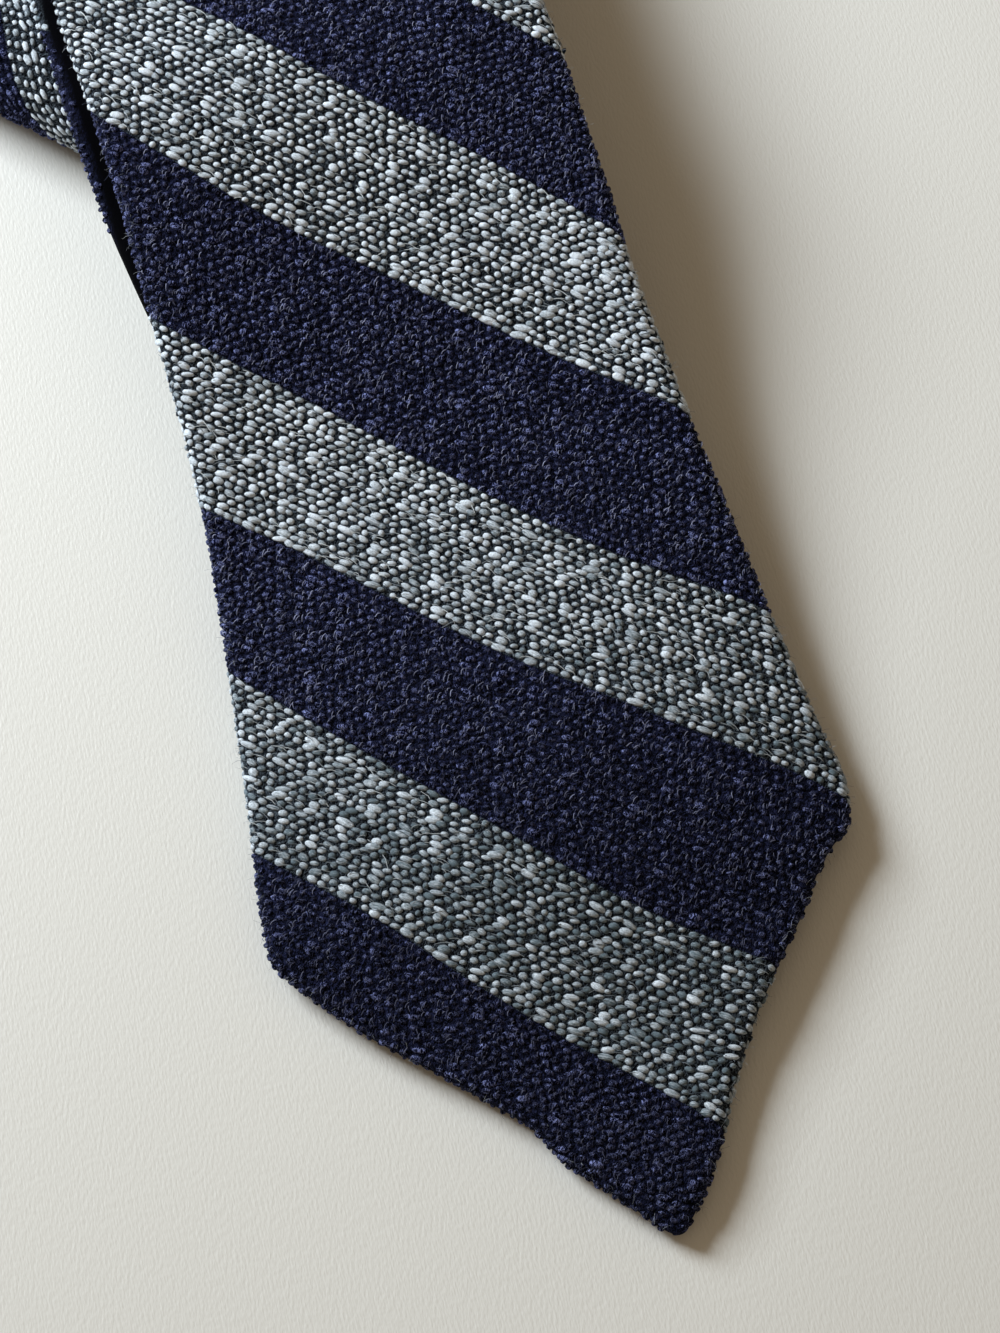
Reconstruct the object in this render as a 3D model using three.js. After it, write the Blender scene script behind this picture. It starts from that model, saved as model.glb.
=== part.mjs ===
// A wide pointed wool tie with padded cloth panels, folded in half at the neck and in half again.
// It lies on a flat surface with the wide end on top and its seam side down.
// Millimetres, +Z up, +Y back along the wide end, whose point is at -Y.

import * as THREE from 'three';

// Sizes of the tie itself
const tieLength = 1450;      // point to point along the cloth
const bladeWidth = 87;       // wide end, corner to corner
const neckWidth = 38;        // narrowest part
const tailWidth = 46;        // narrow end, corner to corner
const clothThick = 4.5;      // shell and padding together
const bladePoint = 51.5;     // length of the wide end's point
const tailPoint = 30;        // length of the narrow end's point
const pointRadius = 3;       // rounding of both points
const lapStep = 0.9;         // step where one folded edge laps over the other on the seam side
const seamSpace = 0.3;       // space left between two panels at a seam

// Sizes of the way it is folded
const layerGap = 0.4;        // air between two layers that rest on each other
const neckFold = 7.5;        // radius of the fold at the neck, to the middle of the cloth
const innerFold = 7.5;       // radius of the inner fold at the back
const neckAir = 2.2;         // air between the two neck layers at the back
const neckReach = 206;       // from the wide end's point back to the neck fold
const neckSide = 42;         // how far the neck fold sits to the left of the wide end
const neckTurn = 86;         // length over which the neck layers curve out to that side
const neckLead = 3.3;         // how far the neck fold comes forward from under the level part
const tailReach = 70;        // from the wide end's point back to the narrow end's point

// Where the panels are joined, as shares of the tie's length
const bladeSeam = 0.47;
const tailSeam = 0.66;

// Width: what each end adds to the neck's width, as shares of the tie's length
const widthRows = [
  { along: 0.037, blade: 1.0, tail: 0 },
  { along: 0.055, blade: 0.90, tail: 0 },
  { along: 0.076, blade: 0.79, tail: 0 },
  { along: 0.097, blade: 0.715, tail: 0 },
  { along: 0.124, blade: 0.68, tail: 0 },
  { along: 0.159, blade: 0.62, tail: 0 },
  { along: 0.200, blade: 0.54, tail: 0 },
  { along: 0.241, blade: 0.43, tail: 0 },
  { along: 0.310, blade: 0.25, tail: 0 },
  { along: 0.379, blade: 0.10, tail: 0 },
  { along: 0.450, blade: 0.02, tail: 0 },
  { along: 0.520, blade: 0, tail: 0 },
  { along: 0.620, blade: 0, tail: 0 },
  { along: 0.759, blade: 0, tail: 0.20 },
  { along: 0.897, blade: 0, tail: 0.72 },
  { along: 0.979, blade: 0, tail: 1.0 },
];

// How far the wide end's right edge swells or draws in, along it by share of bladePoint
const rightSwell = [
  { along: 0, side: -0.022 },
  { along: 0.10, side: -0.016 },
  { along: 0.20, side: -0.019 },
  { along: 0.33, side: -0.031 },
  { along: 0.45, side: -0.032 },
  { along: 0.60, side: -0.021 },
  { along: 0.74, side: -0.013 },
  { along: 0.85, side: -0.024 },
  { along: 0.93, side: -0.027 },
  { along: 1.0, side: -0.018 },
  { along: 1.15, side: -0.004 },
  { along: 1.3, side: -0.008 },
  { along: 1.65, side: -0.010 },
  { along: 1.95, side: -0.012 },
  { along: 2.3, side: -0.020 },
  { along: 2.65, side: -0.018 },
  { along: 3.0, side: -0.006 },
  { along: 3.4, side: -0.006 },
  { along: 3.8, side: -0.018 },
  { along: 4.3, side: -0.014 },
  { along: 5.2, side: 0 },
];

// How far its left edge swells or draws in
const leftSwell = [
  { along: 0, side: 0.020 },
  { along: 0.10, side: 0.017 },
  { along: 0.25, side: 0.011 },
  { along: 0.45, side: -0.027 },
  { along: 0.62, side: -0.024 },
  { along: 0.80, side: -0.008 },
  { along: 1.0, side: 0.002 },
  { along: 1.3, side: 0 },
  { along: 3.25, side: 0 },
  { along: 3.5, side: 0.009 },
  { along: 3.7, side: 0.020 },
  { along: 3.95, side: 0.034 },
  { along: 4.3, side: 0.036 },
  { along: 5.0, side: 0.016 },
  { along: 6.0, side: 0 },
];

// Height of the wide end over the layers below it, as shares of neckReach and of its full rise
const bladeRise = [
  { back: 0, left: 0, middle: 0, right: 0 },
  { back: 0.097, left: 0.01, middle: 0.02, right: 0.03 },
  { back: 0.146, left: 0.01, middle: 0.05, right: 0.06 },
  { back: 0.194, left: 0.01, middle: 0.11, right: 0.05 },
  { back: 0.277, left: 0.03, middle: 0.22, right: 0.02 },
  { back: 0.340, left: 0.08, middle: 0.245, right: 0.07 },
  { back: 0.456, left: 0.18, middle: 0.26, right: 0.23 },
  { back: 0.534, left: 0.26, middle: 0.31, right: 0.36 },
  { back: 0.631, left: 0.41, middle: 0.44, right: 0.555 },
  { back: 0.728, left: 0.61, middle: 0.64, right: 0.75 },
  { back: 0.825, left: 0.875, middle: 0.88, right: 0.905 },
  { back: 0.865, left: 0.955, middle: 0.955, right: 0.96 },
  { back: 0.890, left: 0.988, middle: 0.988, right: 0.988 },
  { back: 0.910, left: 1.0, middle: 1.0, right: 1.0 },
];

// Height of the narrow end, from lying flat to lying on the neck fold
const tailRise = [
  { back: 0.456, height: 0 },
  { back: 0.534, height: 0.045 },
  { back: 0.631, height: 0.228 },
  { back: 0.728, height: 0.49 },
  { back: 0.825, height: 0.77 },
  { back: 0.865, height: 0.89 },
  { back: 0.890, height: 0.955 },
  { back: 0.910, height: 1.0 },
];

// Sideways drift of both ends, as shares of neckReach and of bladeWidth
const bladeDrift = [
  { back: 0, side: 0.056 },
  { back: 0.243, side: 0.017 },
  { back: 0.534, side: 0.017 },
  { back: 0.825, side: -0.017 },
  { back: 1.117, side: -0.021 },
  { back: 1.456, side: -0.026 },
  { back: 2.000, side: 0 },
];
const tailDrift = [
  { back: 0.340, side: -0.108 },
  { back: 0.485, side: -0.115 },
  { back: 0.631, side: -0.130 },
  { back: 0.690, side: -0.142 },
  { back: 0.740, side: -0.162 },
  { back: 0.785, side: -0.184 },
  { back: 0.825, side: -0.202 },
  { back: 0.903, side: -0.224 },
  { back: 1.000, side: -0.238 },
  { back: 1.092, side: -0.253 },
  { back: 1.262, side: -0.265 },
  { back: 1.456, side: -0.218 },
  { back: 1.699, side: -0.115 },
  { back: 1.942, side: -0.034 },
  { back: 2.180, side: 0 },
];

// Levels of the middle of the cloth in each layer
const floorLevel = clothThick / 2;
const neckLevel = floorLevel + 2 * neckFold;
const neckBackLevel = floorLevel + clothThick + neckAir;
const tailLevel = neckLevel + clothThick + layerGap;
const tailBackLevel = neckBackLevel + 2 * innerFold;
const bladeLevel = tailLevel + clothThick + layerGap;
const bladeBackLevel = tailBackLevel + clothThick + layerGap;
const outerFold = (bladeBackLevel - floorLevel) / 2;

// Smooth, never overshooting reading of one column of a table
function readRows(rows, key, column, at) {
  const last = rows.length - 1;
  if (at <= rows[0][key]) return rows[0][column];
  if (at >= rows[last][key]) return rows[last][column];
  let i = 0;
  while (at > rows[i + 1][key]) i += 1;
  const rate = (k) => {
    if (k < 0 || k >= last) return 0;
    return (rows[k + 1][column] - rows[k][column]) / (rows[k + 1][key] - rows[k][key]);
  };
  const slopeAt = (k) => {
    const before = rate(k - 1);
    const after = rate(k);
    return before * after > 0 ? 2 * before * after / (before + after) : 0;
  };
  const span = rows[i + 1][key] - rows[i][key];
  const u = (at - rows[i][key]) / span;
  const u2 = u * u;
  const u3 = u2 * u;
  return rows[i][column] * (2 * u3 - 3 * u2 + 1) + slopeAt(i) * span * (u3 - 2 * u2 + u)
    + rows[i + 1][column] * (3 * u2 - 2 * u3) + slopeAt(i + 1) * span * (u3 - u2);
}

// Height of each layer and its sideways place, by distance back from the wide end's point
function bladeHeight(y) {
  const share = readRows(bladeRise, 'back', 'middle', y / neckReach);
  const full = y < neckReach ? bladeLevel
    : bladeLevel + (bladeBackLevel - bladeLevel) * Math.min((y - neckReach) / neckReach, 1);
  return floorLevel + (full - floorLevel) * share;
}

function bladeLean(y, across) {
  const back = y / neckReach;
  const left = readRows(bladeRise, 'back', 'left', back);
  const middle = readRows(bladeRise, 'back', 'middle', back);
  const right = readRows(bladeRise, 'back', 'right', back);
  const tilt = across * (right - left) / 2 + across * across * ((left + right) / 2 - middle);
  return tilt * (bladeLevel - floorLevel);
}

function tailHeight(y) {
  if (y < neckReach) {
    return floorLevel + (tailLevel - floorLevel) * readRows(tailRise, 'back', 'height', y / neckReach);
  }
  return tailLevel + (tailBackLevel - tailLevel) * Math.min((y - neckReach) / neckReach, 1);
}

function neckHeight(y) {
  const share = Math.min(Math.max((y - neckReach) / neckReach, 0), 1);
  return neckLevel + (neckBackLevel - neckLevel) * share;
}

const bladePlace = (y) => bladeWidth * readRows(bladeDrift, 'back', 'side', y / neckReach);
const tailPlace = (y) => bladeWidth * readRows(tailDrift, 'back', 'side', y / neckReach);
const neckPlace = (y) => -neckSide * Math.max(1 - (y - neckReach + neckLead) / neckTurn, 0) ** 2;

// The middle line of the cloth, from the wide end's point to the narrow end's point
function tracePath(backReach) {
  const path = [];
  const finest = innerFold / 8;
  let travelled = 0;
  const add = (x, y, z, lean, onBlade) => {
    const before = path[path.length - 1];
    if (before) travelled += Math.hypot(x - before.x, y - before.y, z - before.z);
    path.push({ along: travelled, x, y, z, sideX: Math.cos(lean), sideY: -Math.sin(lean), onBlade });
  };
  const layer = (from, to, place, height, onBlade) => {
    const steps = Math.ceil(Math.abs(to - from) / finest);
    for (let i = 0; i <= steps; i += 1) {
      const y = from + (to - from) * i / steps;
      const lean = Math.atan((place(y + finest) - place(y - finest)) / (2 * finest));
      add(place(y), y, height(y), lean, onBlade);
    }
  };
  const fold = (x, y, fromLevel, toLevel, lean, towards) => {
    const radius = Math.abs(toLevel - fromLevel) / 2;
    const middle = (toLevel + fromLevel) / 2;
    const steps = Math.ceil(Math.PI * radius / finest);
    for (let i = 1; i < steps; i += 1) {
      const turn = Math.PI * i / steps;
      const out = towards * radius * Math.sin(turn);
      const level = middle + (fromLevel - middle) * Math.cos(turn);
      add(x + out * Math.sin(lean), y + out * Math.cos(lean), level, lean, false);
    }
  };
  const neckLean = Math.atan(2 * neckSide / neckTurn);
  const neckFront = neckReach - neckLead;
  layer(0, backReach, bladePlace, bladeHeight, true);
  fold(0, backReach, bladeBackLevel, floorLevel, 0, 1);
  layer(backReach, neckFront, neckPlace, () => floorLevel, false);
  fold(-neckSide, neckFront, floorLevel, neckLevel, neckLean, -1);
  layer(neckFront, backReach, neckPlace, neckHeight, false);
  fold(0, backReach, neckBackLevel, tailBackLevel, 0, 1);
  layer(backReach, tailReach, tailPlace, tailHeight, false);
  return { path, travelled };
}

// The back folds sit where the whole cloth comes out at the tie's length
let backReach = tieLength / 3;
for (let pass = 0; pass < 8; pass += 1) {
  backReach += (tieLength - tracePath(backReach).travelled) / 4;
}
const { path, travelled } = tracePath(backReach);

function pathAt(along) {
  const at = Math.min(Math.max(along, 0), travelled);
  let low = 0;
  let high = path.length - 1;
  while (high - low > 1) {
    const half = (low + high) >> 1;
    if (path[half].along <= at) low = half;
    else high = half;
  }
  const a = path[low];
  const b = path[high];
  const u = (at - a.along) / (b.along - a.along);
  const extra = along - at;
  const share = u + extra / (b.along - a.along);
  const mix = (key) => a[key] + (b[key] - a[key]) * share;
  return {
    x: mix('x'), y: mix('y'), z: mix('z'), sideX: mix('sideX'), sideY: mix('sideY'), onBlade: a.onBlade,
  };
}

// Half the width: a rounded point, then the body of the tie
function pointHalf(fromPoint, pointLength, fullHalf) {
  const slant = Math.atan(fullHalf / pointLength);
  const roundEnd = pointRadius * (1 - Math.sin(slant));
  if (fromPoint < roundEnd) {
    const drop = pointRadius - Math.max(fromPoint, 0);
    return Math.sqrt(Math.max(pointRadius * pointRadius - drop * drop, 0));
  }
  const start = pointRadius * Math.cos(slant);
  return start + (fromPoint - roundEnd) * (fullHalf - start) / (pointLength - roundEnd);
}

function halfWidth(along) {
  const share = along / tieLength;
  const blade = readRows(widthRows, 'along', 'blade', share);
  const tail = readRows(widthRows, 'along', 'tail', share);
  const body = (neckWidth + (bladeWidth - neckWidth) * blade + (tailWidth - neckWidth) * tail) / 2;
  const wide = pointHalf(along, bladePoint, bladeWidth / 2);
  const narrow = pointHalf(tieLength - along, tailPoint, tailWidth / 2);
  const cornerSoft = pointRadius * 0.35;
  const point = Math.min(wide, narrow);
  const mix = Math.min(Math.max(0.5 + 0.5 * (body - point) / cornerSoft, 0), 1);
  return Math.max(body + (point - body) * mix - cornerSoft * mix * (1 - mix), pointRadius * 0.37);
}

function thickness(along) {
  const fromPoint = Math.min(along, tieLength - along);
  const u = Math.min(Math.max(fromPoint / (2 * clothThick), 0), 1);
  return clothThick * (0.6 + 0.4 * Math.sin(u * Math.PI / 2));
}

function midCloth(along, across) {
  const p = pathAt(along);
  const lean = p.onBlade ? bladeLean(p.y, across / halfWidth(along)) : 0;
  return new THREE.Vector3(p.x + p.sideX * across, p.y + p.sideY * across, p.z + lean);
}

function clothPoint(along, across, out) {
  const stepAlong = clothThick * 0.18;
  const stepAcross = clothThick * 0.11;
  const onward = midCloth(along + stepAlong, across).sub(midCloth(along - stepAlong, across));
  const sideways = midCloth(along, across + stepAcross).sub(midCloth(along, across - stepAcross));
  const normal = sideways.cross(onward).normalize();
  return midCloth(along, across).addScaledVector(normal, out);
}

// One section of the cloth: flat front, round folded edges, seam side with its lap
function section(along) {
  const half = halfWidth(along);
  const thick = thickness(along);
  const radius = Math.min(thick / 2, half * 0.8);
  const flat = half - radius;
  const step = lapStep * Math.min(half / neckWidth * 2, 1);
  const lap = Math.min(flat * 0.2, clothThick * 0.9);
  const right = flat + bladeWidth * readRows(rightSwell, 'along', 'side', along / bladePoint);
  const left = flat + bladeWidth * readRows(leftSwell, 'along', 'side', along / bladePoint);
  const middle = (right - left) / 2;
  const points = [];
  for (const u of [0, 0.25, 0.5, 0.75, 1]) points.push([-left + (left + right) * u, thick / 2]);
  for (const turn of [45, 0, -45]) {
    const angle = turn * Math.PI / 180;
    const low = angle < 0 ? step * -Math.sin(angle) : 0;
    points.push([right + radius * Math.cos(angle), thick / 2 * Math.sin(angle) + low]);
  }
  points.push([right, -thick / 2 + step]);
  points.push([middle + lap * 1.4, -thick / 2 + step]);
  points.push([middle + lap, -thick / 2]);
  points.push([(middle - left) / 2, -thick / 2]);
  points.push([-left, -thick / 2]);
  for (const turn of [-45, 0, 45]) {
    const angle = turn * Math.PI / 180;
    points.push([-left - radius * Math.cos(angle), thick / 2 * Math.sin(angle)]);
  }
  return points;
}

// Stations along a panel: close together on the points and round the folds
function stationsOf(from, to) {
  const folds = [];
  for (let i = 1; i < path.length; i += 1) {
    if (Math.abs(path[i].z - path[i - 1].z) > 0.5 * (path[i].along - path[i - 1].along)) {
      folds.push(path[i].along);
    }
  }
  const coarse = clothThick * 2;
  const gapAt = (along) => {
    const fromPoint = Math.min(along, tieLength - along);
    const fromCorner = Math.min(Math.abs(along - bladePoint), Math.abs(tieLength - along - tailPoint));
    if (fromPoint < pointRadius * 0.33) return coarse * 0.04;
    if (fromPoint < pointRadius) return coarse * 0.09;
    if (fromCorner < clothThick * 0.9) return coarse * 0.18;
    if (folds.some((at) => Math.abs(at - along) < clothThick * 0.9)) return coarse * 0.3;
    if (fromPoint < bladePoint) return Math.min(coarse * 0.17 + fromPoint * 0.2, coarse * 0.8);
    return coarse;
  };
  const stations = [from];
  let at = from;
  while (to - at > gapAt(at) * 1.4) {
    at += Math.min(gapAt(at), gapAt(at + gapAt(at)));
    stations.push(at);
  }
  stations.push(to);
  return stations;
}

// A panel from one distance along the tie to another; a seam end is cut on the bias
function panelGeometry(from, to, biasFrom, biasTo) {
  const fade = neckWidth * 1.6;
  const stations = stationsOf(from, to);
  const ring = section(from).length;
  const vertices = [];
  for (const along of stations) {
    const nearFrom = biasFrom * Math.max(1 - (along - from) / fade, 0);
    const nearTo = biasTo * Math.max(1 - (to - along) / fade, 0);
    for (const [across, out] of section(along)) {
      const point = clothPoint(along + across * (nearFrom + nearTo), across, out);
      vertices.push(point.x, point.y, point.z);
    }
  }
  const faces = [];
  for (let i = 0; i < stations.length - 1; i += 1) {
    for (let j = 0; j < ring; j += 1) {
      const a = i * ring + j;
      const b = i * ring + (j + 1) % ring;
      const c = a + ring;
      const d = b + ring;
      faces.push(a, b, d, a, d, c);
    }
  }
  for (const [start, flip] of [[0, false], [(stations.length - 1) * ring, true]]) {
    const hub = vertices.length / 3;
    const middle = new THREE.Vector3();
    for (let j = 0; j < ring; j += 1) {
      middle.add(new THREE.Vector3().fromArray(vertices, (start + j) * 3));
    }
    middle.divideScalar(ring);
    vertices.push(middle.x, middle.y, middle.z);
    for (let j = 0; j < ring; j += 1) {
      const a = start + j;
      const b = start + (j + 1) % ring;
      if (flip) faces.push(hub, a, b);
      else faces.push(hub, b, a);
    }
  }
  const geometry = new THREE.BufferGeometry();
  geometry.setAttribute('position', new THREE.Float32BufferAttribute(vertices, 3));
  geometry.setIndex(faces);
  geometry.computeVertexNormals();
  return geometry;
}

const stripedWool = () => new THREE.MeshStandardMaterial({ color: 0x39425c, roughness: 0.95, metalness: 0 });
const bladeEnd = tieLength * bladeSeam;
const tailStart = tieLength * tailSeam;
const panels = [
  ['front_blade', 0, bladeEnd - seamSpace / 2, 0, 1],
  ['neck_band', bladeEnd + seamSpace / 2, tailStart - seamSpace / 2, 1, 1],
  ['tail_blade', tailStart + seamSpace / 2, tieLength, 1, 0],
];

const tie = new THREE.Group();
for (const [name, from, to, biasFrom, biasTo] of panels) {
  const mesh = new THREE.Mesh(panelGeometry(from, to, biasFrom, biasTo), stripedWool());
  mesh.name = name;
  tie.add(mesh);
}

// The origin is the middle of the footprint, on the surface that the tie lies on
const box = new THREE.Box3().setFromObject(tie);
const middle = box.getCenter(new THREE.Vector3());
tie.position.set(-middle.x, -middle.y, -box.min.z);

export default tie;
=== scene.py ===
import math
import bpy
import numpy as np
from mathutils import Matrix, Vector


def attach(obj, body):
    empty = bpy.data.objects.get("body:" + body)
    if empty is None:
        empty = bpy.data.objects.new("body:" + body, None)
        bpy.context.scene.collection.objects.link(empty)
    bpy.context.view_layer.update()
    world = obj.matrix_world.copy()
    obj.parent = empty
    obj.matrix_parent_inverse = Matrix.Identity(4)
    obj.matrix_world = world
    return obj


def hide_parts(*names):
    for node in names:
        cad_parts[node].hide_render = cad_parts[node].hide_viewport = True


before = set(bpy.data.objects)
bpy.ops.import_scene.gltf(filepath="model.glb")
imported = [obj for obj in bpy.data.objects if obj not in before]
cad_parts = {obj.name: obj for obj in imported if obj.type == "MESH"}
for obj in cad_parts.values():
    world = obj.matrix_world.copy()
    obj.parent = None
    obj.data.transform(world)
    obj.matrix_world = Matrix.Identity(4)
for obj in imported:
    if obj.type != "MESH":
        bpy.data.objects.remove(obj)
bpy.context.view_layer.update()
print("frame loaded")


# Colours and nodes

def colour(hexValue):  # sRGB hex to linear, with alpha
    parts = [int(hexValue[i:i + 2], 16) / 255 for i in (1, 3, 5)]
    return [p / 12.92 if p <= 0.04045 else ((p + 0.055) / 1.055) ** 2.4 for p in parts] + [1.0]


def addNode(tree, kind, links=None, **settings):
    node = tree.nodes.new(kind)
    for key, value in settings.items():
        setattr(node, key, value)
    for socket, source in (links or {}).items():
        if isinstance(source, bpy.types.NodeSocket):
            tree.links.new(source, node.inputs[socket])
        else:
            node.inputs[socket].default_value = source
    return node


# The tie as it is folded: the same sizes as the solids, in millimetres

tie = {
    "length": 1450, "bladeWidth": 87, "neckWidth": 38, "tailWidth": 46, "thick": 4.5,
    "bladePoint": 51.5, "tailPoint": 30, "pointRadius": 3, "lapStep": 0.9, "seamSpace": 0.3,
    "bladeSeam": 0.47, "tailSeam": 0.66,
    "layerGap": 0.4, "neckFold": 7.5, "innerFold": 7.5, "neckAir": 2.2,
    "neckReach": 206, "neckSide": 42, "neckTurn": 86, "neckLead": 3.3, "tailReach": 70,
    "shift": (8.5474, -233.3119, 0),  # from the point of the wide end to the middle of the footprint
}

# share of the length: what the wide end and the narrow end add to the width
widthRows = [
    (0.037, 1, 0), (0.055, 0.9, 0), (0.076, 0.79, 0), (0.097, 0.715, 0), (0.124, 0.68, 0), (0.159, 0.62, 0),
    (0.2, 0.54, 0), (0.241, 0.43, 0), (0.31, 0.25, 0), (0.379, 0.1, 0), (0.45, 0.02, 0), (0.52, 0, 0),
    (0.62, 0, 0), (0.759, 0, 0.2), (0.897, 0, 0.72), (0.979, 0, 1),
]
# share of the point's length: swell of the right edge, then of the left
rightSwell = [
    (0, -0.022), (0.1, -0.016), (0.2, -0.019), (0.33, -0.031), (0.45, -0.032), (0.6, -0.021), (0.74, -0.013),
    (0.85, -0.024), (0.93, -0.027), (1, -0.018), (1.15, -0.004), (1.3, -0.008), (1.65, -0.01),
    (1.95, -0.012), (2.3, -0.02), (2.65, -0.018), (3, -0.006), (3.4, -0.006), (3.8, -0.018),
    (4.3, -0.014), (5.2, 0),
]
leftSwell = [
    (0, 0.02), (0.1, 0.017), (0.25, 0.011), (0.45, -0.027), (0.62, -0.024), (0.8, -0.008), (1, 0.002),
    (1.3, 0), (3.25, 0), (3.5, 0.009), (3.7, 0.02), (3.95, 0.034), (4.3, 0.036), (5, 0.016), (6, 0),
]
# share of neckReach: rise of the wide end at its left edge, middle and right edge
bladeRise = [
    (0, 0, 0, 0), (0.097, 0.01, 0.02, 0.03), (0.146, 0.01, 0.05, 0.06), (0.194, 0.01, 0.11, 0.05),
    (0.277, 0.03, 0.22, 0.02), (0.34, 0.08, 0.245, 0.07), (0.456, 0.18, 0.26, 0.23), (0.534, 0.26, 0.31, 0.36),
    (0.631, 0.41, 0.44, 0.555), (0.728, 0.61, 0.64, 0.75), (0.825, 0.875, 0.88, 0.905),
    (0.865, 0.955, 0.955, 0.96), (0.89, 0.988, 0.988, 0.988), (0.91, 1, 1, 1),
]
tailRise = [
    (0.456, 0), (0.534, 0.045), (0.631, 0.228), (0.728, 0.49), (0.825, 0.77), (0.865, 0.89), (0.89, 0.955),
    (0.91, 1),
]
# share of neckReach: sideways drift by share of the blade's width
bladeDrift = [
    (0, 0.056), (0.243, 0.017), (0.534, 0.017), (0.825, -0.017), (1.117, -0.021), (1.456, -0.026), (2, 0),
]
tailDrift = [
    (0.34, -0.108), (0.485, -0.115), (0.631, -0.13), (0.69, -0.142), (0.74, -0.162), (0.785, -0.184),
    (0.825, -0.202), (0.903, -0.224), (1, -0.238), (1.092, -0.253), (1.262, -0.265), (1.456, -0.218),
    (1.699, -0.115), (1.942, -0.034), (2.18, 0),
]


def readRows(rows, at, column=1):  # smooth reading of a table that never overshoots
    keys = np.array([row[0] for row in rows], float)
    values = np.array([row[column] for row in rows], float)
    rate = np.diff(values) / np.diff(keys)
    slope = np.zeros(len(keys))
    same = rate[:-1] * rate[1:] > 0
    slope[1:-1][same] = 2 * rate[:-1][same] * rate[1:][same] / (rate[:-1] + rate[1:])[same]
    x = np.clip(np.asarray(at, float), keys[0], keys[-1])
    i = np.clip(np.searchsorted(keys, x, side="right") - 1, 0, len(keys) - 2)
    span = keys[i + 1] - keys[i]
    u = (x - keys[i]) / span
    return (values[i] * (2 * u ** 3 - 3 * u ** 2 + 1) + slope[i] * span * (u ** 3 - 2 * u ** 2 + u)
            + values[i + 1] * (3 * u ** 2 - 2 * u ** 3) + slope[i + 1] * span * (u ** 3 - u ** 2))


floorLevel = tie["thick"] / 2  # levels of the middle of the cloth in each layer
neckLevel = floorLevel + 2 * tie["neckFold"]
neckBackLevel = floorLevel + tie["thick"] + tie["neckAir"]
tailLevel = neckLevel + tie["thick"] + tie["layerGap"]
tailBackLevel = neckBackLevel + 2 * tie["innerFold"]
bladeLevel = tailLevel + tie["thick"] + tie["layerGap"]
bladeBackLevel = tailBackLevel + tie["thick"] + tie["layerGap"]


def backShare(y):
    return np.clip((y - tie["neckReach"]) / tie["neckReach"], 0, 1)


def bladeHeight(y):
    full = bladeLevel + (bladeBackLevel - bladeLevel) * backShare(y)
    return floorLevel + (full - floorLevel) * readRows(bladeRise, y / tie["neckReach"], 2)


def bladeLean(y, across):
    left, middle, right = (readRows(bladeRise, y / tie["neckReach"], k) for k in (1, 2, 3))
    return (across * (right - left) / 2 + across ** 2 * ((left + right) / 2 - middle)) * (bladeLevel - floorLevel)


def tailHeight(y):
    rise = floorLevel + (tailLevel - floorLevel) * readRows(tailRise, y / tie["neckReach"])
    return np.where(y < tie["neckReach"], rise, tailLevel + (tailBackLevel - tailLevel) * backShare(y))


def neckHeight(y):
    return neckLevel + (neckBackLevel - neckLevel) * backShare(y)


def bladePlace(y):
    return tie["bladeWidth"] * readRows(bladeDrift, y / tie["neckReach"])


def tailPlace(y):
    return tie["bladeWidth"] * readRows(tailDrift, y / tie["neckReach"])


def neckPlace(y):
    return -tie["neckSide"] * np.maximum(1 - (y - tie["neckReach"] + tie["neckLead"]) / tie["neckTurn"], 0) ** 2


def tracePath(backReach, fine=1.0):  # columns x, y, z, sideways x and y, and 1 on the wide end's top layer
    runs = []

    def layer(start, end, place, height, onBlade):
        count = math.ceil(abs(end - start) / fine)
        y = start + (end - start) * np.arange(count + 1) / count
        lean = np.arctan((place(y + fine) - place(y - fine)) / (2 * fine))
        runs.append(np.c_[place(y), y, height(y) + 0 * y, np.cos(lean), -np.sin(lean), onBlade + 0 * y])

    def fold(x, y, low, high, lean, towards):
        radius = abs(high - low) / 2
        count = math.ceil(math.pi * radius / fine)
        turn = np.pi * np.arange(1, count) / count
        out = towards * radius * np.sin(turn)
        level = (low + high) / 2 + (low - high) / 2 * np.cos(turn)
        runs.append(np.c_[x + out * np.sin(lean), y + out * np.cos(lean), level,
                          np.cos(lean) + 0 * turn, -np.sin(lean) + 0 * turn, 0 * turn])

    reach, side = tie["neckReach"] - tie["neckLead"], tie["neckSide"]
    neckLean = math.atan(2 * side / tie["neckTurn"])
    layer(0, backReach, bladePlace, bladeHeight, 1)
    fold(0, backReach, bladeBackLevel, floorLevel, 0, 1)
    layer(backReach, reach, neckPlace, lambda y: floorLevel, 0)
    fold(-side, reach, floorLevel, neckLevel, neckLean, -1)
    layer(reach, backReach, neckPlace, neckHeight, 0)
    fold(0, backReach, neckBackLevel, tailBackLevel, 0, 1)
    layer(backReach, tie["tailReach"], tailPlace, tailHeight, 0)
    points = np.vstack(runs)
    along = np.r_[0, np.cumsum(np.linalg.norm(np.diff(points[:, :3], axis=0), axis=1))]
    return points, along


backReach = tie["length"] / 3
for attempt in range(8):
    points, along = tracePath(backReach)
    backReach += (tie["length"] - along[-1]) / 4
pathPoints, pathAlong = tracePath(backReach)


def pointHalf(fromPoint, pointLength, fullHalf):
    slant = math.atan(fullHalf / pointLength)
    radius = tie["pointRadius"]
    roundEnd = radius * (1 - math.sin(slant))
    start = radius * math.cos(slant)
    nose = np.sqrt(np.maximum(radius ** 2 - (radius - np.maximum(fromPoint, 0)) ** 2, 0))
    return np.where(fromPoint < roundEnd, nose,
                    start + (fromPoint - roundEnd) * (fullHalf - start) / (pointLength - roundEnd))


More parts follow.
